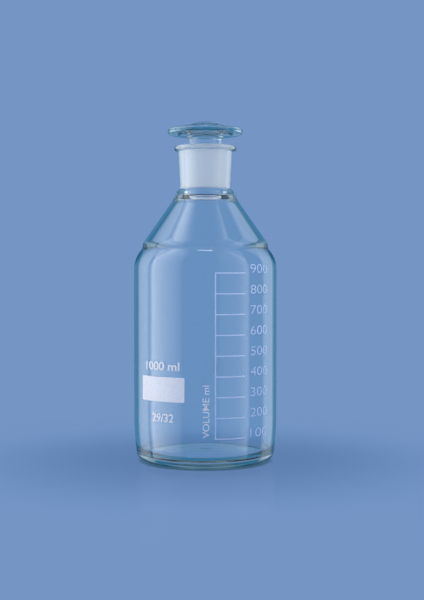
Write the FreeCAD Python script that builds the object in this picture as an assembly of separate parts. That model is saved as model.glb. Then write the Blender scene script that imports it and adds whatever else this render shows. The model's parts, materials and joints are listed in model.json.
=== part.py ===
# A one-litre narrow-mouth reagent bottle of clear laboratory glass. The blown body has a conical shoulder
# above a low moulded ledge, the neck is a standard-taper socket sealed on to it and ground inside, and a
# flat-head stopper is ground to fit the socket. The volume scale and the marking spot are white enamel
# fired on to the outside. Sizes are in millimetres, +Z is up, the origin is on the bottle's axis in the
# plane that the foot stands on, and the print faces -Y.
import FreeCAD, Part

import math
import os

# Body, from the foot to the top of the straight wall
BODY_DIAMETER = 101.5
BODY_WALL = 3.1
STRAIGHT_TOP = 135.6
DRAW_IN = 2.4
DRAW_TOP = 22.0
DRAW_ROUND = 180.0
HEEL_ROUND = 7.2
INNER_HEEL_ROUND = 8.0

# Base, with a hollow pushed up inside a flat foot ring
BASE_THICKNESS = 6.2
FOOT_WIDTH = 5.0
FOOT_ROUND = 1.5
PUSH_UP = 3.0
PUSH_UP_FLAT = 16.0
PUSH_UP_ROUND = 90.0

# Shoulder, a curve up to a crease, a low upright ledge on the crease, and a cone above the ledge
SHOULDER_ROUND = 22.5
SHOULDER_ANGLE = 43.0
SHOULDER_WALL = 3.7
INNER_SHOULDER_ROUND = 25.0
CREASE_ROUND = 1.6
LEDGE_HEIGHT = 3.4
LEDGE_ROUND = 8.0
CONE_ANGLE = 35.0

# Collar of thick glass at the root of the neck
COLLAR_HEIGHT = 7.6
COLLAR_WIDTH = 1.9
COLLAR_FLARE = 3.4
COLLAR_ROUND = 3.0
COLLAR_FOOT_ROUND = 8.0
ROOT_HEIGHT = 1.2
ROOT_ROUND = 1.1
THROAT_DEPTH = 3.6
THROAT_ANGLE = 60.0
THROAT_ROUND = 4.0
SHELF_ROUND = 6.0

# Standard-taper joint, shared by the neck, the stopper and the collar, which its foot reaches down into
JOINT_DIAMETER = 29.2
JOINT_LENGTH = 32.0
JOINT_BELOW_SEAL = 2.7
JOINT_TAPER = 0.1
JOINT_CLEARANCE = 0.05

# Neck
NECK_WALL = 4.7
RIM_OVERHANG = 2.8
RIM_HEIGHT = 3.6
RIM_ROUND = 1.75
RIM_ROOT_ROUND = 0.8
MOUTH_LIP = 0.5

# Stopper, from the tip of its plug to the dome on its head
PLUG_SHORT = 1.5
PLUG_TOP_DEPTH = 1.0
PLUG_TOP_ROUND = 1.2
PLUG_WALL = 3.0
PLUG_TIP_ROUND = 1.2
PLUG_ROOF = 3.0
PLUG_ROOF_ROUND = 5.0
WAIST_INSET = 2.7
WAIST_ROUND = 1.0
HEAD_GAP = 6.2
HEAD_DIAMETER = 53.1
HEAD_EDGE = 4.1
HEAD_ROUND = 2.0
UNDERSIDE_RISE = 2.0
CROWN_RISE = 2.3
DOME_DIAMETER = 24.0
DOME_FLAT = 10.0
DOME_RISE = 3.0
DOME_ROUND = 25.0

# Enamel print
ENAMEL = 0.1
LINE_WIDTH = 0.8
SCALE_ANGLE = 20.1
SCALE_WIDTH = 22.0
SCALE_STEP_ML = 100.0
SPOT_ANGLE = -37.0
SPOT_WIDTH = 36.6
SPOT_HEIGHT = 16.9
SPOT_BOTTOM = 46.3
SPOT_ROUND = 0.9

CUBIC_MM_PER_ML = 1000.0
LEVEL_ACCURACY = 0.005
SHARP = 0.0

ORIGIN = FreeCAD.Vector(0, 0, 0)
AXIS = FreeCAD.Vector(0, 0, 1)

# Radii and heights that follow from the sizes above, going up the bottle
body_r = BODY_DIAMETER / 2
body_inner_r = body_r - BODY_WALL

shoulder_angle = math.radians(SHOULDER_ANGLE)
shoulder_corner_z = STRAIGHT_TOP + SHOULDER_ROUND * math.tan(shoulder_angle / 2)
crease_r = body_r - SHOULDER_ROUND * (1 - math.cos(shoulder_angle))
crease_z = STRAIGHT_TOP + SHOULDER_ROUND * math.sin(shoulder_angle)
ledge_z = crease_z + LEDGE_HEIGHT

bore_bottom_r = (JOINT_DIAMETER - JOINT_TAPER * JOINT_LENGTH) / 2
bore_top_r = JOINT_DIAMETER / 2
seal_bore_r = bore_bottom_r + JOINT_BELOW_SEAL * JOINT_TAPER / 2
neck_bottom_r = seal_bore_r + NECK_WALL
neck_top_r = bore_top_r + NECK_WALL
collar_r = neck_bottom_r + COLLAR_WIDTH
collar_foot_r = collar_r + COLLAR_FLARE

cone_slope = math.tan(math.radians(CONE_ANGLE))
cone_wall_across = SHOULDER_WALL / math.cos(math.radians(CONE_ANGLE))
collar_foot_z = ledge_z + (crease_r - collar_foot_r) / cone_slope
collar_z = collar_foot_z + COLLAR_HEIGHT
seal_z = collar_z + ROOT_HEIGHT
bore_bottom_z = seal_z - JOINT_BELOW_SEAL
bore_top_z = bore_bottom_z + JOINT_LENGTH
rim_z = bore_top_z + MOUTH_LIP


def rounded(corners):
    """Edges that run through (radius, height, rounding) corners, each rounded as far as its walls allow."""
    points = [FreeCAD.Vector(r, 0, z) for r, z, rounding in corners]
    ways = [(end - start).normalize() for start, end in zip(points, points[1:])]
    lengths = [start.distanceToPoint(end) for start, end in zip(points, points[1:])]
    half_turns = [0.0] + [a.getAngle(b) / 2 for a, b in zip(ways, ways[1:])] + [0.0]
    wanted = [corner[2] * math.tan(half) for corner, half in zip(corners, half_turns)]
    spare = [length / max(length, a + b) for length, a, b in zip(lengths, wanted, wanted[1:])]
    reaches = [want * min(a, b) for want, a, b in zip(wanted, [1.0] + spare, spare + [1.0])]
    edges = []
    for i, way in enumerate(ways):
        start = points[i] + way * reaches[i]
        end = points[i + 1] - way * reaches[i + 1]
        if start.distanceToPoint(end) > Part.Precision.confusion():
            edges.append(Part.LineSegment(start, end).toShape())
        if reaches[i + 1] > 0:
            leave = points[i + 1] + ways[i + 1] * reaches[i + 1]
            inward = (ways[i + 1] - way).normalize()
            half_turn = half_turns[i + 1]
            sagitta = reaches[i + 1] * math.cos(half_turn) * math.tan(half_turn / 2)
            middle = (end + leave) / 2 - inward * sagitta
            edges.append(Part.Arc(end, middle, leave).toShape())
    return edges


def revolved(corners):
    """The solid that a closed outline of corners sweeps round the axis."""
    outline = Part.Wire(rounded(corners + corners[:1]))
    return Part.Face(outline).revolve(ORIGIN, AXIS, 360)


def outer_wall():
    """Corners of the body's outside from the foot ring's edge up to the straight wall's top."""
    return [
        (body_r - DRAW_IN, 0, HEEL_ROUND),
        (body_r, DRAW_TOP, DRAW_ROUND),
        (body_r, STRAIGHT_TOP, SHARP),
    ]


def inner_wall():
    """Corners of the body's inside from the throat down to the middle of the floor."""
    throat_z = bore_bottom_z - THROAT_DEPTH
    throat_slope = math.tan(math.radians(THROAT_ANGLE))
    cone_at_throat_r = crease_r - cone_wall_across - (throat_z - ledge_z) * cone_slope
    shelf_drop = (cone_at_throat_r - bore_bottom_r) / (throat_slope - cone_slope)
    shelf_r = bore_bottom_r + shelf_drop * throat_slope
    inner_shoulder_z = ledge_z - (body_inner_r + cone_wall_across - crease_r) / cone_slope
    floor_draw_in = DRAW_IN * (1 - BASE_THICKNESS / DRAW_TOP)
    floor_z = BASE_THICKNESS + PUSH_UP
    return [
        (seal_bore_r, seal_z, SHARP),
        (bore_bottom_r, bore_bottom_z, SHARP),
        (bore_bottom_r, throat_z, THROAT_ROUND),
        (shelf_r, throat_z - shelf_drop, SHELF_ROUND),
        (body_inner_r, inner_shoulder_z, INNER_SHOULDER_ROUND),
        (body_inner_r, DRAW_TOP, DRAW_ROUND),
        (body_inner_r - floor_draw_in, BASE_THICKNESS, INNER_HEEL_ROUND),
        (foot_inner_r(), BASE_THICKNESS, PUSH_UP_ROUND),
        (PUSH_UP_FLAT / 2, floor_z, PUSH_UP_ROUND),
        (0, floor_z, SHARP),
    ]


def foot_inner_r():
    """Radius of the foot ring's inner edge, inside the round of the heel."""
    heel_turn = math.pi / 2 - math.atan(DRAW_IN / DRAW_TOP)
    return body_r - DRAW_IN - HEEL_ROUND * math.tan(heel_turn / 2) - FOOT_WIDTH


def bottle_body():
    """The blown body: base, straight wall, shoulder and the collar that the neck is sealed on to."""
    underside = [
        (0, PUSH_UP, SHARP),
        (PUSH_UP_FLAT / 2, PUSH_UP, PUSH_UP_ROUND),
        (foot_inner_r(), 0, FOOT_ROUND),
    ]
    shoulder = [
        (body_r, shoulder_corner_z, SHOULDER_ROUND),
        (crease_r, crease_z, CREASE_ROUND),
        (crease_r, ledge_z, LEDGE_ROUND),
        (collar_foot_r, collar_foot_z, COLLAR_FOOT_ROUND),
        (collar_r, collar_z, COLLAR_ROUND),
        (neck_bottom_r, collar_z, ROOT_ROUND),
        (neck_bottom_r, seal_z, SHARP),
    ]
    wall = outer_wall()[:2]
    return revolved(underside + wall + shoulder + inner_wall())


def neck_socket():
    """The neck: a tube with a ground taper inside, the same taper outside, and a beaded rim."""
    rim_r = neck_top_r + RIM_OVERHANG
    rim_bottom_z = rim_z - RIM_HEIGHT
    rim_bottom_r = neck_top_r - (bore_top_z - rim_bottom_z) * JOINT_TAPER / 2
    return revolved([
        (seal_bore_r, seal_z, SHARP),
        (neck_bottom_r, seal_z, SHARP),
        (rim_bottom_r, rim_bottom_z, RIM_ROOT_ROUND),
        (rim_r, rim_bottom_z, RIM_ROUND),
        (rim_r, rim_z, RIM_ROUND),
        (bore_top_r, rim_z, MOUTH_LIP),
        (bore_top_r, bore_top_z, SHARP),
    ])


def stopper():
    """The stopper: a hollow ground plug, a waist to lift it by and a flat head with a low dome."""
    plug_tip_z = bore_bottom_z + PLUG_SHORT
    plug_top_z = rim_z - PLUG_TOP_DEPTH
    plug_tip_r = bore_bottom_r + PLUG_SHORT * JOINT_TAPER / 2 - JOINT_CLEARANCE
    plug_top_r = plug_tip_r + (plug_top_z - plug_tip_z) * JOINT_TAPER / 2
    waist_r = plug_top_r - WAIST_INSET
    roof_z = plug_top_z - PLUG_ROOF
    head_r = HEAD_DIAMETER / 2
    underside_z = rim_z + HEAD_GAP
    edge_bottom_z = underside_z + UNDERSIDE_RISE
    edge_top_z = edge_bottom_z + HEAD_EDGE
    crown_z = edge_top_z + CROWN_RISE
    dome_z = crown_z + DOME_RISE
    return revolved([
        (0, roof_z, SHARP),
        (waist_r - PLUG_WALL, roof_z, PLUG_ROOF_ROUND),
        (plug_tip_r - PLUG_WALL, plug_tip_z, PLUG_TIP_ROUND),
        (plug_tip_r, plug_tip_z, PLUG_TIP_ROUND),
        (plug_top_r, plug_top_z, PLUG_TOP_ROUND),
        (waist_r, plug_top_z, WAIST_ROUND),
        (waist_r, underside_z, WAIST_ROUND),
        (head_r, edge_bottom_z, HEAD_ROUND),
        (head_r, edge_top_z, HEAD_ROUND),
        (DOME_DIAMETER / 2, crown_z, DOME_ROUND),
        (DOME_FLAT / 2, dome_z, DOME_ROUND),
        (0, dome_z, SHARP),
    ])


def enamel_skin():
    """A thin skin all round the outside of the body's wall, which the print is cut from."""
    wall = outer_wall()
    wall[0] = wall[0][:2] + (SHARP,)
    skin_face = [(r + ENAMEL, z, rounding) for r, z, rounding in reversed(wall)]
    return revolved(wall + skin_face)


def print_block(left, bottom, width, height):
    """A block that reaches from the axis out through the front wall, as wide and high as a printed mark."""
    reach = BODY_DIAMETER
    return Part.makeBox(width, reach, height, FreeCAD.Vector(left, -reach, bottom))


def level(cavity, volume):
    """The height that a volume of liquid fills the cavity to."""
    box = cavity.BoundBox
    low = box.ZMin
    high = box.ZMax
    while high - low > LEVEL_ACCURACY:
        middle = (low + high) / 2
        corner = FreeCAD.Vector(box.XMin, box.YMin, box.ZMin)
        filled = cavity.common(Part.makeBox(box.XLength, box.YLength, middle - box.ZMin, corner))
        if filled.Volume < volume:
            low = middle
        else:
            high = middle
    return high


def graduation_heights():
    """Heights of the scale's lines: one for each step of volume whose level is on the straight wall."""
    inside = inner_wall()
    cavity = revolved(inside + [(0, seal_z, SHARP)])
    heights = []
    height = level(cavity, SCALE_STEP_ML * CUBIC_MM_PER_ML)
    while height + LINE_WIDTH / 2 < STRAIGHT_TOP:
        heights.append(height)
        height = level(cavity, (len(heights) + 1) * SCALE_STEP_ML * CUBIC_MM_PER_ML)
    return heights


def graduation_scale(skin):
    """The volume scale: an upright line and a level line to the right of it at each step of volume."""
    left = -SCALE_WIDTH / 2
    heights = graduation_heights()
    bottoms = [height - LINE_WIDTH / 2 for height in heights]
    upright = print_block(left, bottoms[0], LINE_WIDTH, heights[-1] - bottoms[0])
    lines = [print_block(left, bottom, SCALE_WIDTH, LINE_WIDTH) for bottom in bottoms]
    marks = upright.fuse(lines).removeSplitter()
    marks.rotate(ORIGIN, AXIS, SCALE_ANGLE)
    return skin.common(marks)


def marking_spot(skin):
    """The spot to write on: a rectangle with rounded corners."""
    block = print_block(-SPOT_WIDTH / 2, SPOT_BOTTOM, SPOT_WIDTH, SPOT_HEIGHT)
    corners = [edge for edge in block.Edges if edge.BoundBox.YLength > body_r]
    block = block.makeFillet(SPOT_ROUND, corners)
    block.rotate(ORIGIN, AXIS, SPOT_ANGLE)
    return skin.common(block)


def main():
    """Writes each piece to its own file."""
    skin = enamel_skin()
    pieces = {
        "bottle_body": bottle_body(),
        "neck_socket": neck_socket(),
        "stopper": stopper(),
        "graduation_scale": graduation_scale(skin),
        "marking_spot": marking_spot(skin),
    }
    os.makedirs("parts", exist_ok=True)
    for name, shape in pieces.items():
        shape.exportStep(f"parts/{name}.step")


main()
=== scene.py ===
import json
import math

import bmesh
import bpy
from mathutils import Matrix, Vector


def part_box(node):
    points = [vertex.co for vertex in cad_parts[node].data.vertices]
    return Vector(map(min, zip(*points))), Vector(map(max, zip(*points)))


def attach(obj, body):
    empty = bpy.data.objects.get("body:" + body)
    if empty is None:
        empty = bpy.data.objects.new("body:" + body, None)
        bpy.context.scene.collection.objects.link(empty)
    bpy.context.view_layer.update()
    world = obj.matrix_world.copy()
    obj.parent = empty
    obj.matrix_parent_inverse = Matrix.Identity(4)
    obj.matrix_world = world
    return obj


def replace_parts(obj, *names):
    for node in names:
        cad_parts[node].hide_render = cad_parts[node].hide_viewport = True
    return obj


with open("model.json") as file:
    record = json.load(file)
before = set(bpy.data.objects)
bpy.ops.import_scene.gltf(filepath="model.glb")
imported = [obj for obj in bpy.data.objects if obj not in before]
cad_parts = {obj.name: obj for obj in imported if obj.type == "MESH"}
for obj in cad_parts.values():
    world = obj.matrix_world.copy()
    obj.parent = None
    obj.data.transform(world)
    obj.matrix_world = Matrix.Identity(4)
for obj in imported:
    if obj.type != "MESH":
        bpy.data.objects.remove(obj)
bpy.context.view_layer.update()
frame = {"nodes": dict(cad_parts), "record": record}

# Frame of the picture in pixels, and where the bottle's axis, its foot and eye level lie in it
PHOTO_WIDTH = 424
PHOTO_HEIGHT = 600
AXIS_COLUMN = 205.3
FOOT_ROW = 460.15
HORIZON_ROW = 264.0
PIXELS_PER_METRE = 1400.4
CAMERA_DISTANCE = 0.85
SENSOR = 36.0

# Glass turned on a lathe: the steps round it and along its outline, and how near is the same place
TURN_STEPS = 192
PROFILE_STEP = 0.0025
MERGE = 1e-5
ON_SEAM = 2e-7
MM_PER_METRE = 1000
JOINT_TAPER = 0.1
ON_CONE = 0.0002

# Crease under the ledge, melted round
CREASE_HEIGHT = 0.1515
CREASE_REACH = 0.006
CREASE_STEP = 0.0004
CREASE_TURNS = 8

# Noise of the materials: its detail, and the spread of its values that is used
NOISE_DETAIL = 3.0
NOISE_SPREAD = (0.3, 0.7)
EVEN = (1.0, 1.0, 1.0)

# Clear glass, with the faint upright waves of drawn glass
GLASS_IOR = 1.473
BODY_COLOUR = (0.915, 0.985, 1.0, 1.0)
BODY_TINT = (0.5, 0.5, 0.33, 1.0)
BODY_DENSITY = 5.0
STOPPER_COLOUR = (0.96, 0.99, 1.0, 1.0)
STOPPER_TINT = (0.0, 0.8, 0.85, 1.0)
STOPPER_DENSITY = 2.0
WAVE_SCALE = 60.0
WAVE_STRETCH = (1.0, 1.0, 0.15)
WAVE_STRENGTH = 0.003
WAVE_DEPTH = 0.001

# Ground glass, which fades at the foot of the cone into a painted blue of the backdrop seen through it,
# with the rings and grains that grinding leaves
SOCKET_COLOUR = (0.98, 0.97, 0.98, 1.0)
# The plug's colour is a darker copy of the socket's ground glass: painted shade on the plug inside the neck
PAINTED_SHADE_PLUG_COLOUR = (0.6, 0.62, 0.66, 1.0)
PAINTED_BACKDROP_BLUE = (0.3, 0.45, 0.7, 1.0)
GROUND_FADE = (0.0005, 0.004)
GROUND_SPECULAR = 0.1
GROUND_CLEARNESS = 0.08
GROUND_ROUGHNESS = (0.5, 0.7)
RING_SCALE = 900.0
RING_STRETCH = (0.05, 0.05, 1.0)
GRIT_SCALE = 2500.0
GRIT_STRETCH = (0.4, 0.4, 1.0)
GRIT_STRENGTH = 0.3
GRIT_DEPTH = 0.0001

# White enamel, laid on thick or thin, clouded, with the fine grain of the printing screen
THICK_ENAMEL = ((0.76, 0.71, 0.68, 1.0), (0.8, 0.75, 0.72, 1.0))
THIN_ENAMEL = ((0.5, 0.59, 0.72, 1.0), (0.54, 0.63, 0.76, 1.0))
ENAMEL = 0.0001
ENAMEL_GAP = 0.00002
ENAMEL_ROUGHNESS = (0.3, 0.42)
CLOUD_SCALE = 400.0
CLOUD_SPREAD = (0.35, 0.65)
SCREEN_SCALE = 3000.0
SCREEN_STRENGTH = 0.15
SCREEN_DEPTH = 0.00005

# Print: how flat words are cut to bend round the wall and joined again, and the right ends of the scale's
# lines as a share of its width; then numbers beside the lines, two lines of print and an upright name
STRIP = 0.0012
SAME_POINT = 1e-7
HALF_THICK = 0.5
LINE_END = 0.1
PRINT_HEIGHT = 0.0059
NUMBER_ANGLE = 47.5
NUMBER_WIDTH = 0.0172
NUMBER_WEIGHT = -0.018
NUMBER_STEP = 100
BOLD = 0.018
CAPACITY_ANGLE = -36.3
CAPACITY_WIDTH = 0.0291
CAPACITY_HEIGHT = 0.0706
JOINT_SIZE_ANGLE = -35.1
JOINT_SIZE_WIDTH = 0.0184
JOINT_SIZE_HEIGHT = 0.0353
NAME_ANGLE = 0.8
NAME_LENGTH = 0.0356
NAME_WIDTH = 0.0046
NAME_HEIGHT = 0.0404
NAME_WEIGHT = 0.002

# Room, in linear colours: the backdrop, and what glass and matt surfaces show where they don't show that
BACKDROP = (0.178, 0.301, 0.552, 1.0)
DIM_ROOM = (0.035, 0.175, 0.34, 1.0)
TANGLED_ROOM = (0.22, 0.39, 0.61, 1.0)
CEILING = (0.03, 0.05, 0.07, 1.0)
FILL_COLOUR = (0.225, 0.25, 0.4)

# Rays by how often they were turned or let through: a depth is a whole number, so a half tells two apart
HALF = 0.5
ONE_TURN = 1
ONE_WALL = 2
SOLID_LIGHT = 0.25
TANGLED_LIGHT = (0.4, 0.06)
REARWARD = (-0.4, -0.05)
OVERHEAD = (0.1, 0.3)

# Soft upright panels: the first and last angle in degrees round the bottle from the camera's side, the
# light at each, and the width of the soft edges
LEFT_PANELS = [
    (39.0, 99.0, 0.35, 3.1, 2.5),
    (105.0, 140.0, 1.5, 0.2, 3.0),
]
RIGHT_PANELS = [
    (24.0, 75.0, 0.2, 0.75, 2.0),
    (55.0, 75.0, 0.0, 0.85, 2.0),
    (76.0, 106.0, 0.05, 0.05, 2.0),
    (110.0, 146.0, 0.95, 0.2, 2.0),
]
MATT_LEFT_PANEL = (60.0, 100.0, 0.66, 0.66, 4.0)
MATT_RIGHT_PANEL = (55.0, 100.0, 1.5, 1.5, 4.0)
PANEL_COLOUR = (1.0, 0.97, 0.9)
MATT_COLOUR = (1.0, 0.93, 0.78)
PANEL_FOOT = (-0.5, -0.3)
PANEL_HEAD = (0.95, 0.85)

# Small lamp high in front, which polished faces mirror: its lowest and highest angle, edge and sides
LAMP_HEIGHT = (75.2, 83.0)
LAMP_EDGE = 0.6
LAMP_SIDES = (0.168, 0.112)
LAMP_LIGHT = 9.0

# Floor: painted shade and a darker painted contact shadow round the bottle's foot; rings round the bottle's
# axis where the painted shade lies, where the painted contact shadow is darkest, and where the floor turns
# into the backdrop
PAINTED_FLOOR_SHADE = (0.127, 0.231, 0.451, 1.0)
PAINTED_CONTACT_SHADOW = (0.04, 0.11, 0.17, 1.0)
FLOOR_RADIUS = 0.35
FLOOR_SEGMENTS = 96
FLOOR_DROP = 0.0002
FLOOR_GRAIN = 300.0
FLOOR_ROUGHNESS = (0.1, 0.16)
SHADE_STARTS = (0.03, 0.05)
SHADE_ENDS = (0.2, 0.05)
CONTACT_SHADOW_STARTS = (0.0395, 0.042)
CONTACT_SHADOW_ENDS = (0.05, 0.043)
GLOW_REACH = (0.08, 0.3)
GLOW_SHARE = (0.8, 1.0)

# Longest way of light inside the glass, in bounces
BOUNCES = 32


def chain_of(links, start):
    """Points in order along a chain of linked points, from its start to its other end."""
    chain = [start]
    onward = list(links[start])
    while onward:
        chain.append(onward[0])
        onward = [point for point in links[chain[-1]] if point != chain[-2]]
    return chain


def seam_links(nodes, seal=None):
    """Which points follow each other along the seam of the nodes' turned meshes, as (radius, height)."""
    links = {}
    for node in nodes:
        mesh = frame["nodes"][node].data
        seam = {}
        for vertex in mesh.vertices:
            if abs(vertex.co.y) < ON_SEAM and vertex.co.x > -ON_SEAM:
                seam[vertex.index] = (round(vertex.co.x / MERGE), round(vertex.co.z / MERGE))
        for edge in mesh.edges:
            ends = [seam.get(index) for index in edge.vertices]
            if None in ends or ends[0] == ends[1]:
                continue
            if seal is not None and all(end[1] == round(seal / MERGE) for end in ends):
                continue
            links.setdefault(ends[0], set()).add(ends[1])
            links.setdefault(ends[1], set()).add(ends[0])
    return links


def profile_of(nodes, seal=None):
    """The outline that the nodes share, from the axis round to the axis, with long runs divided."""
    links = seam_links(nodes, seal)
    ends = sorted((point for point in links if len(links[point]) == 1), key=lambda point: point[1])
    chain = [(r * MERGE, z * MERGE) for r, z in chain_of(links, ends[0])]
    chain = [(0.0, chain[0][1])] + chain + [(0.0, chain[-1][1])]
    points = [chain[0]]
    for (r0, z0), (r1, z1) in zip(chain, chain[1:]):
        parts = max(1, math.ceil(math.hypot(r1 - r0, z1 - z0) / PROFILE_STEP))
        for part in range(1, parts + 1):
            share = part / parts
            points.append((r0 + (r1 - r0) * share, z0 + (z1 - z0) * share))
    return points


def wall_radius(profile, z):
    """Radius of the bottle's outside at a height, from its profile."""
    radius = 0.0
    for (r0, z0), (r1, z1) in zip(profile, profile[1:]):
        if min(z0, z1) <= z <= max(z0, z1) and z1 > z0:
            radius = max(radius, r0 + (r1 - r0) * (z - z0) / (z1 - z0))
    return radius


def near_crease(profile, r, z):
    """Whether a point of the profile is on the outside, close to the crease under the ledge."""
    return r > wall_radius(profile, z) - MERGE and abs(z - CREASE_HEIGHT) < CREASE_REACH


def melted_crease(profile):
    """Points of the outside round the crease, evened out as the flame leaves them."""
    steps = round(2 * CREASE_REACH / CREASE_STEP)
    heights = [CREASE_HEIGHT - CREASE_REACH + step * CREASE_STEP for step in range(steps + 1)]
    radii = [wall_radius(profile, z) for z in heights]
    for turn in range(CREASE_TURNS):
        middle = [(low + 2 * here + high) / 4 for low, here, high in zip(radii, radii[1:], radii[2:])]
        radii = [radii[0]] + middle + [radii[-1]]
    return list(zip(radii, heights))


def fire_polished(profile):
    """The profile with the crease under the ledge melted smooth."""
    near = [near_crease(profile, r, z) for r, z in profile]
    first = near.index(True)
    last = first + sum(near)
    return profile[:first] + melted_crease(profile) + profile[last:]


def joint_cone():
    """Radius and height of the top of the ground cone that the socket and the plug share, and its depth."""
    socket = next(mount for mount in frame["record"]["mounts"] if mount["name"] == "ground_socket")
    top_r = socket["dims"]["r_mm"] / MM_PER_METRE
    depth = socket["dims"]["length_mm"] / MM_PER_METRE
    return top_r, socket["pos_m"][2], depth


def on_joint(r, z):
    """Whether a point lies on the ground cone."""
    top_r, top_z, depth = joint_cone()
    cone_r = top_r - (top_z - z) * JOINT_TAPER / 2
    return top_z - depth < z < top_z and abs(r - cone_r) < ON_CONE


def lathe(name, profile, polished, ground):
    """A closed mesh turned from a profile that starts and ends on the axis, ground on the joint's cone."""
    mesh = bpy.data.meshes.new(name)
    form = bmesh.new()
    rings = []
    for r, z in profile:
        if r == 0.0:
            rings.append([form.verts.new((0.0, 0.0, z))] * TURN_STEPS)
            continue
        angles = [2 * math.pi * step / TURN_STEPS for step in range(TURN_STEPS)]
        rings.append([form.verts.new((r * math.cos(a), r * math.sin(a), z)) for a in angles])
    for i, (low, high) in enumerate(zip(rings, rings[1:])):
        r = (profile[i][0] + profile[i + 1][0]) / 2
        z = (profile[i][1] + profile[i + 1][1]) / 2
        for step in range(TURN_STEPS):
            after = (step + 1) % TURN_STEPS
            corners = [low[step], low[after], high[after], high[step]]
            face = form.faces.new(list(dict.fromkeys(corners)))
            face.smooth = True
            face.material_index = 1 if on_joint(r, z) else 0
    bmesh.ops.recalc_face_normals(form, faces=form.faces)
    form.to_mesh(mesh)
    form.free()
    mesh.materials.append(polished)
    mesh.materials.append(ground)
    piece = bpy.data.objects.new(name, mesh)
    bpy.context.scene.collection.objects.link(piece)
    return piece


def add_node(tree, kind, **settings):
    """A new node with its settings."""
    node = tree.nodes.new(kind)
    for name, value in settings.items():
        setattr(node, name, value)
    return node


def feed(tree, socket, value):
    """Links a socket to another node's output, or sets it to a value."""
    if isinstance(value, bpy.types.NodeSocket):
        tree.links.new(value, socket)
    else:
        socket.default_value = value


def maths(tree, operation, *values):
    """The result of a sum on numbers or outputs."""
    node = add_node(tree, "ShaderNodeMath", operation=operation)
    for socket, value in zip(node.inputs, values):
        feed(tree, socket, value)
    return node.outputs["Value"]


def both(tree, first, second):
    """One number times another, which is one where both are one."""
    return maths(tree, "MULTIPLY", first, second)


def either(tree, first, second):
    """The larger of two numbers, which is one where either is one."""
    return maths(tree, "MAXIMUM", first, second)


def without(tree, value):
    """What a number leaves of one."""
    return maths(tree, "SUBTRACT", 1.0, value)


def ramp(tree, value, start, end, low=0.0, high=1.0, kind="SMOOTHSTEP"):
    """A number that goes from low to high as a value goes from start to end."""
    node = add_node(tree, "ShaderNodeMapRange", interpolation_type=kind)
    feed(tree, node.inputs["Value"], value)
    feed(tree, node.inputs["From Min"], start)
    feed(tree, node.inputs["From Max"], end)
    feed(tree, node.inputs["To Min"], low)
    feed(tree, node.inputs["To Max"], high)
    return node.outputs["Result"]


def band(tree, value, starts, ends):
    """A number that rises to one as a value passes its start and is back at nought past its end."""
    return both(tree, ramp(tree, value, *starts), ramp(tree, value, *ends))


def blend(tree, share, first, second):
    """A colour between two colours."""
    node = add_node(tree, "ShaderNodeMix", data_type="RGBA")
    feed(tree, node.inputs["Factor"], share)
    feed(tree, node.inputs["A"], first)
    feed(tree, node.inputs["B"], second)
    return node.outputs["Result"]


def tinted(tree, colour, light):
    """A colour made as bright as a light."""
    node = add_node(tree, "ShaderNodeVectorMath", operation="SCALE")
    feed(tree, node.inputs[0], colour)
    feed(tree, node.inputs["Scale"], light)
    return node.outputs["Vector"]


def added(tree, first, second):
    """The sum of two colours."""
    node = add_node(tree, "ShaderNodeVectorMath", operation="ADD")
    feed(tree, node.inputs[0], first)
    feed(tree, node.inputs[1], second)
    return node.outputs["Vector"]


def on_object(tree):
    """The place on the object."""
    return add_node(tree, "ShaderNodeTexCoord").outputs["Object"]


def noise(tree, scale, stretch=EVEN):
    """Noise over the object, in cycles a metre, drawn out along an axis where its stretch is small."""
    mapping = add_node(tree, "ShaderNodeMapping")
    mapping.inputs["Scale"].default_value = stretch
    texture = add_node(tree, "ShaderNodeTexNoise")
    tree.links.new(on_object(tree), mapping.inputs["Vector"])
    tree.links.new(mapping.outputs["Vector"], texture.inputs["Vector"])
    texture.inputs["Scale"].default_value = scale
    texture.inputs["Detail"].default_value = NOISE_DETAIL
    return texture.outputs["Fac"]


def bump(tree, shader, height, strength, distance):
    """Raises a shader's surface by a height."""
    node = add_node(tree, "ShaderNodeBump")
    node.inputs["Strength"].default_value = strength
    node.inputs["Distance"].default_value = distance
    tree.links.new(height, node.inputs["Height"])
    tree.links.new(node.outputs["Normal"], shader.inputs["Normal"])


def new_material(name, values):
    """A node material whose Principled shader has these values, with its tree and its shader."""
    material = bpy.data.materials.new(name)
    material.use_nodes = True
    shader = material.node_tree.nodes["Principled BSDF"]
    for socket, value in values.items():
        shader.inputs[socket].default_value = value
    return material, material.node_tree, shader


def clear_glass(name, colour, tint, density):
    """Polished laboratory glass, tinted where it is thick, with the faint waves of drawn glass."""
    values = {"Base Color": colour, "Roughness": 0.0, "IOR": GLASS_IOR, "Transmission Weight": 1.0}
    material, tree, shader = new_material(name, values)
    absorption = add_node(tree, "ShaderNodeVolumeAbsorption")
    absorption.inputs["Color"].default_value = tint
    absorption.inputs["Density"].default_value = density
    tree.links.new(absorption.outputs["Volume"], tree.nodes["Material Output"].inputs["Volume"])
    bump(tree, shader, noise(tree, WAVE_SCALE, WAVE_STRETCH), WAVE_STRENGTH, WAVE_DEPTH)
    return material


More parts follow.
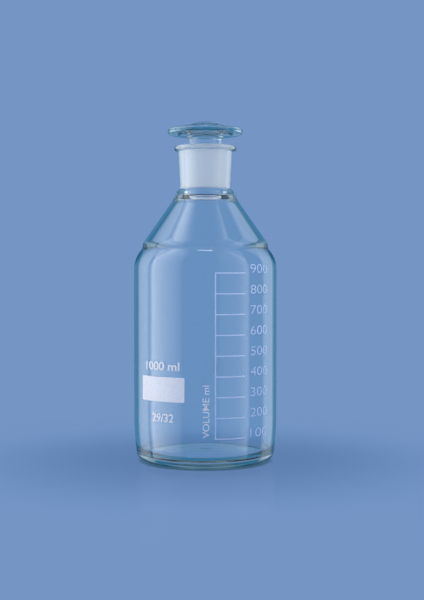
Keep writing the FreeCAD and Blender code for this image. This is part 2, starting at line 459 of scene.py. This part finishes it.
def ground_glass(name, colour):
    """Glass ground with grit, milky, with fine rings left by the turning of the grinding tool."""
    values = {
        "IOR": GLASS_IOR,
        "Specular IOR Level": GROUND_SPECULAR,
        "Transmission Weight": GROUND_CLEARNESS,
    }
    material, tree, shader = new_material(name, values)
    place = add_node(tree, "ShaderNodeSeparateXYZ")
    tree.links.new(on_object(tree), place.inputs["Vector"])
    top_z, depth = joint_cone()[1:]
    first, last = (top_z - depth + rise for rise in GROUND_FADE)
    # Towards the foot of the cone the colour turns to painted backdrop blue, standing in for light seen
    # through the thin ground glass
    frosted = ramp(tree, place.outputs["Z"], first, last)
    tree.links.new(blend(tree, frosted, PAINTED_BACKDROP_BLUE, colour), shader.inputs["Base Color"])
    rings = noise(tree, RING_SCALE, RING_STRETCH)
    tree.links.new(ramp(tree, rings, *NOISE_SPREAD, *GROUND_ROUGHNESS), shader.inputs["Roughness"])
    bump(tree, shader, noise(tree, GRIT_SCALE, GRIT_STRETCH), GRIT_STRENGTH, GRIT_DEPTH)
    return material


def white_enamel(name, colours):
    """Fired white enamel, satin, a little uneven where it was printed through a screen."""
    material, tree, shader = new_material(name, {})
    cloud = noise(tree, CLOUD_SCALE)
    colour = blend(tree, ramp(tree, cloud, *CLOUD_SPREAD), *colours)
    tree.links.new(colour, shader.inputs["Base Color"])
    tree.links.new(ramp(tree, cloud, *NOISE_SPREAD, *ENAMEL_ROUGHNESS), shader.inputs["Roughness"])
    bump(tree, shader, noise(tree, SCREEN_SCALE), SCREEN_STRENGTH, SCREEN_DEPTH)
    return material


def flat_words(words, weight):
    """A mesh of words one unit thick, with its middle at the origin, and its width and height."""
    curve = bpy.data.curves.new("words", "FONT")
    curve.body = words
    curve.offset = weight
    curve.extrude = HALF_THICK
    source = bpy.data.objects.new("words", curve)
    bpy.context.scene.collection.objects.link(source)
    bpy.context.view_layer.update()
    mesh = bpy.data.meshes.new_from_object(source)
    bpy.data.objects.remove(source)
    xs = [vertex.co.x for vertex in mesh.vertices]
    ys = [vertex.co.y for vertex in mesh.vertices]
    for vertex in mesh.vertices:
        vertex.co.x -= (max(xs) + min(xs)) / 2
        vertex.co.y -= (max(ys) + min(ys)) / 2
    return mesh, max(xs) - min(xs), max(ys) - min(ys)


def print_piece(mesh, material):
    """A piece of enamel on the bottle."""
    mesh.materials.clear()
    mesh.materials.append(material)
    piece = bpy.data.objects.new(mesh.name, mesh)
    bpy.context.scene.collection.objects.link(piece)
    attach(piece, "bottle")
    return piece


def fired_on(node, material, profile):
    """The print of a node with its back just clear of the glass, so that it is also lit from behind."""
    mesh = frame["nodes"][node].data.copy()
    mesh.name = node + "_enamel"
    for vertex in mesh.vertices:
        base = wall_radius(profile, vertex.co.z)
        r = math.hypot(vertex.co.x, vertex.co.y)
        if r < base + ENAMEL / 2:
            vertex.co.x *= (base + ENAMEL_GAP) / r
            vertex.co.y *= (base + ENAMEL_GAP) / r
    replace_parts(print_piece(mesh, material), node)


def lettering(name, words, weight, width, height, angle, z, material, profile, upright=False):
    """Words of raised enamel on the bottle's wall, centred at an angle from the front and a height."""
    mesh, flat_width, flat_height = flat_words(words, weight)
    mesh.name = name
    form = bmesh.new()
    form.from_mesh(mesh)
    for vertex in form.verts:
        across = vertex.co.x * width / flat_width
        up = vertex.co.y * height / flat_height
        vertex.co.x = -up if upright else across
        vertex.co.y = across if upright else up
    cuts = int(max(abs(vertex.co.x) for vertex in form.verts) / STRIP)
    for cut in range(-cuts, cuts + 1):
        geometry = form.verts[:] + form.edges[:] + form.faces[:]
        bmesh.ops.bisect_plane(form, geom=geometry, plane_co=(cut * STRIP, 0, 0), plane_no=(1, 0, 0))
    for vertex in form.verts:
        height_here = z + vertex.co.y
        base = wall_radius(profile, height_here)
        turn = math.radians(angle) + vertex.co.x / base
        r = base + (ENAMEL if vertex.co.z > 0 else ENAMEL_GAP)
        vertex.co = (r * math.sin(turn), -r * math.cos(turn), height_here)
    bmesh.ops.remove_doubles(form, verts=form.verts, dist=SAME_POINT)
    form.to_mesh(mesh)
    form.free()
    print_piece(mesh, material)


def tick_heights():
    """Heights of the scale's lines, from the right ends of the lines in the frame."""
    mesh = frame["nodes"]["graduation_scale"].data
    turns = [math.atan2(vertex.co.x, -vertex.co.y) for vertex in mesh.vertices]
    right_end = max(turns) - LINE_END * (max(turns) - min(turns))
    heights = sorted(vertex.co.z for vertex, turn in zip(mesh.vertices, turns) if turn > right_end)
    lines = [[heights[0]]]
    for height in heights[1:]:
        if height - lines[-1][-1] > PRINT_HEIGHT:
            lines.append([])
        lines[-1].append(height)
    return [(line[0] + line[-1]) / 2 for line in lines]


def printing(profile):
    """The enamel: the scale, the marking spot, their numbers and words."""
    thick = white_enamel("thick_enamel", THICK_ENAMEL)
    thin = white_enamel("thin_enamel", THIN_ENAMEL)
    fired_on("graduation_scale", thin, profile)
    fired_on("marking_spot", thick, profile)
    for count, height in enumerate(tick_heights(), 1):
        words = str(count * NUMBER_STEP)
        lettering("number_" + words, words, NUMBER_WEIGHT, NUMBER_WIDTH, PRINT_HEIGHT,
                  NUMBER_ANGLE, height + PRINT_HEIGHT / 2, thin, profile)
    lettering("capacity", "1000 ml", BOLD, CAPACITY_WIDTH, PRINT_HEIGHT,
              CAPACITY_ANGLE, CAPACITY_HEIGHT, thick, profile)
    lettering("joint_size", "29/32", BOLD, JOINT_SIZE_WIDTH, PRINT_HEIGHT,
              JOINT_SIZE_ANGLE, JOINT_SIZE_HEIGHT, thick, profile)
    lettering("scale_name", "VOLUME ml", NAME_WEIGHT, NAME_LENGTH, NAME_WIDTH,
              NAME_ANGLE, NAME_HEIGHT, thick, profile, upright=True)


def bottle():
    """The bottle, its stopper and its print."""
    profile = profile_of(["bottle_body", "neck_socket"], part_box("neck_socket")[0].z)
    blown = clear_glass("clear_glass", BODY_COLOUR, BODY_TINT, BODY_DENSITY)
    ground_socket = ground_glass("ground_socket", SOCKET_COLOUR)
    glass = lathe("bottle_glass", fire_polished(profile), blown, ground_socket)
    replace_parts(glass, "bottle_body", "neck_socket")
    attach(glass, "bottle")
    pressed = clear_glass("stopper_glass", STOPPER_COLOUR, STOPPER_TINT, STOPPER_DENSITY)
    # The plug gets the same ground glass in a darker colour, painted shade inside the neck
    ground_plug_painted_shade = ground_glass("ground_plug_painted_shade", PAINTED_SHADE_PLUG_COLOUR)
    stopper = lathe("stopper_glass", profile_of(["stopper"]), pressed, ground_plug_painted_shade)
    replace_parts(stopper, "stopper")
    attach(stopper, "stopper")
    printing(profile)


def at_most(tree, depth, count):
    """One for rays whose depth is at most a count."""
    return maths(tree, "LESS_THAN", depth, count + HALF)


def more_than(tree, depth, count):
    """One for rays whose depth is more than a count."""
    return maths(tree, "GREATER_THAN", depth, count + HALF)


def through_glass(tree, path):
    """One for rays that come from the camera by way of clear glass alone, however they turn in it."""
    return both(tree, path["Is Transmission Ray"], at_most(tree, path["Diffuse Depth"], 0))


def panel(tree, turn, first, last, first_light, last_light, edge):
    """Light of a soft panel between two angles, shaded from one to the other."""
    light = ramp(tree, turn, math.radians(first), math.radians(last), first_light, last_light, "LINEAR")
    starts = (math.radians(first - edge), math.radians(first + edge))
    ends = (math.radians(last + edge), math.radians(last - edge))
    return both(tree, light, band(tree, turn, starts, ends))


def direction(tree):
    """The direction of a ray: its parts, and its angles round the bottle to the right and the left."""
    way = add_node(tree, "ShaderNodeSeparateXYZ")
    tree.links.new(add_node(tree, "ShaderNodeTexCoord").outputs["Generated"], way.inputs["Vector"])
    x, y, z = way.outputs
    right = maths(tree, "ARCTAN2", x, maths(tree, "MULTIPLY", y, -1.0))
    left = maths(tree, "MULTIPLY", right, -1.0)
    return x, y, z, right, left


def soft_panels(tree, z, right, left):
    """Light of the upright panels that polished glass shows."""
    panels = [panel(tree, left, *values) for values in LEFT_PANELS]
    panels += [panel(tree, right, *values) for values in RIGHT_PANELS]
    light = panels[0]
    for other in panels[1:]:
        light = maths(tree, "ADD", light, other)
    return both(tree, light, band(tree, z, PANEL_FOOT, PANEL_HEAD))


def small_lamp(tree, x, y, z):
    """Light of the small lamp high in front."""
    rise = maths(tree, "ARCTAN2", z, maths(tree, "MULTIPLY", y, -1.0))
    lowest, highest = LAMP_HEIGHT
    strip = panel(tree, rise, lowest, highest, LAMP_LIGHT, LAMP_LIGHT, LAMP_EDGE)
    return both(tree, strip, ramp(tree, maths(tree, "ABSOLUTE", x), *LAMP_SIDES))


def room():
    """The world: a plain backdrop where it is seen, and a dim room with soft panels of light elsewhere."""
    world = bpy.data.worlds.new("studio")
    bpy.context.scene.world = world
    world.use_nodes = True
    tree = world.node_tree
    path = add_node(tree, "ShaderNodeLightPath").outputs
    x, y, z, right, left = direction(tree)
    # Rays that show the backdrop, by themselves or through glass, and rays that wander inside it
    clear = through_glass(tree, path)
    straight = both(tree, clear, at_most(tree, path["Glossy Depth"], 0))
    deep = both(tree, clear, more_than(tree, path["Transmission Depth"], ONE_WALL))
    far = both(tree, deep, at_most(tree, path["Glossy Depth"], ONE_TURN))
    backdrop = either(tree, path["Is Camera Ray"], either(tree, straight, far))
    unseen = without(tree, backdrop)
    mazy = both(tree, clear, more_than(tree, path["Glossy Depth"], ONE_TURN))
    ceiling = both(tree, mazy, ramp(tree, z, *OVERHEAD))
    # Rays that light matt surfaces, and rays that polished faces mirror
    scattered = more_than(tree, path["Diffuse Depth"], 0)
    matt = both(tree, either(tree, without(tree, path["Is Glossy Ray"]), scattered), unseen)
    outside = at_most(tree, path["Transmission Depth"], 0)
    mirror = both(tree, maths(tree, "SUBTRACT", unseen, matt), outside)
    # How much of the panels' light each kind of ray meets
    solid = maths(tree, "COMPARE", path["Transmission Depth"], ONE_WALL, HALF)
    lit = either(tree, unseen, both(tree, solid, SOLID_LIGHT))
    tangled = ramp(tree, y, *REARWARD, *TANGLED_LIGHT)
    lit = both(tree, lit, ramp(tree, mazy, 0.0, 1.0, 1.0, tangled))
    lit = both(tree, lit, without(tree, ceiling))
    shown = both(tree, soft_panels(tree, z, right, left), lit)
    shown = maths(tree, "ADD", shown, both(tree, small_lamp(tree, x, y, z), mirror))
    matt_left = panel(tree, left, *MATT_LEFT_PANEL)
    matt_right = panel(tree, right, *MATT_RIGHT_PANEL)
    matt_shown = both(tree, maths(tree, "ADD", matt_left, matt_right), matt)
    light = added(tree, tinted(tree, PANEL_COLOUR, shown), tinted(tree, MATT_COLOUR, matt_shown))
    light = added(tree, light, tinted(tree, FILL_COLOUR, matt))
    around = blend(tree, ceiling, blend(tree, mazy, DIM_ROOM, TANGLED_ROOM), CEILING)
    total = added(tree, light, blend(tree, backdrop, around, BACKDROP))
    tree.links.new(total, tree.nodes["Background"].inputs["Color"])


def floor_finish():
    """A plain floor that turns into the backdrop, glossy round the bottle, with painted shade and a painted
    contact shadow round the bottle, and its plain colour kept beneath it as painted light.
    """
    material, tree, shader = new_material("floor", {})
    reach = add_node(tree, "ShaderNodeVectorMath", operation="LENGTH")
    tree.links.new(on_object(tree), reach.inputs[0])
    distance = reach.outputs["Value"]
    # Painted shade in a ring round the bottle, left off beneath it as painted light, and a painted contact
    # shadow at the bottle's foot
    colour = blend(tree, band(tree, distance, SHADE_STARTS, SHADE_ENDS), BACKDROP, PAINTED_FLOOR_SHADE)
    colour = blend(tree, band(tree, distance, CONTACT_SHADOW_STARTS, CONTACT_SHADOW_ENDS), colour, PAINTED_CONTACT_SHADOW)
    tree.links.new(colour, shader.inputs["Base Color"])
    grain = noise(tree, FLOOR_GRAIN)
    tree.links.new(ramp(tree, grain, *NOISE_SPREAD, *FLOOR_ROUGHNESS), shader.inputs["Roughness"])
    path = add_node(tree, "ShaderNodeLightPath").outputs
    seen = either(tree, path["Is Camera Ray"], through_glass(tree, path))
    glow = add_node(tree, "ShaderNodeEmission")
    tree.links.new(colour, glow.inputs["Color"])
    lit = add_node(tree, "ShaderNodeMixShader")
    tree.links.new(both(tree, seen, ramp(tree, distance, *GLOW_REACH, *GLOW_SHARE)), lit.inputs["Fac"])
    tree.links.new(shader.outputs["BSDF"], lit.inputs[1])
    tree.links.new(glow.outputs["Emission"], lit.inputs[2])
    # Rays that turned inside the glass pass the floor by
    passed = add_node(tree, "ShaderNodeMixShader")
    tree.links.new(both(tree, seen, more_than(tree, path["Glossy Depth"], 0)), passed.inputs["Fac"])
    tree.links.new(lit.outputs["Shader"], passed.inputs[1])
    tree.links.new(add_node(tree, "ShaderNodeBsdfTransparent").outputs["BSDF"], passed.inputs[2])
    tree.links.new(passed.outputs["Shader"], tree.nodes["Material Output"].inputs["Surface"])
    return material


def floor():
    """The floor that the bottle stands on."""
    mesh = bpy.data.meshes.new("floor")
    form = bmesh.new()
    bmesh.ops.create_circle(form, cap_ends=True, segments=FLOOR_SEGMENTS, radius=FLOOR_RADIUS)
    form.to_mesh(mesh)
    form.free()
    mesh.materials.append(floor_finish())
    piece = bpy.data.objects.new("floor", mesh)
    piece.location.z = -FLOOR_DROP
    piece.visible_glossy = False
    bpy.context.scene.collection.objects.link(piece)


def camera():
    """The camera, a little above the middle of the bottle, tilted a little down."""
    focal_pixels = PIXELS_PER_METRE * CAMERA_DISTANCE
    lens = bpy.data.cameras.new("camera")
    lens.sensor_width = SENSOR
    lens.lens = SENSOR * focal_pixels / PHOTO_HEIGHT
    eye = bpy.data.objects.new("camera", lens)
    side = (PHOTO_WIDTH / 2 - AXIS_COLUMN) / PIXELS_PER_METRE
    eye_height = (FOOT_ROW - HORIZON_ROW) / PIXELS_PER_METRE
    pitch = math.atan((PHOTO_HEIGHT / 2 - HORIZON_ROW) / focal_pixels)
    eye.location = (side, -CAMERA_DISTANCE, eye_height)
    eye.rotation_euler = (math.pi / 2 - pitch, 0.0, 0.0)
    bpy.context.scene.collection.objects.link(eye)
    bpy.context.scene.camera = eye


bottle()
room()
floor()
camera()
bpy.context.scene.cycles.max_bounces = BOUNCES
bpy.context.scene.cycles.glossy_bounces = BOUNCES
bpy.context.scene.cycles.transmission_bounces = BOUNCES
bpy.context.scene.view_settings.view_transform = "Standard"
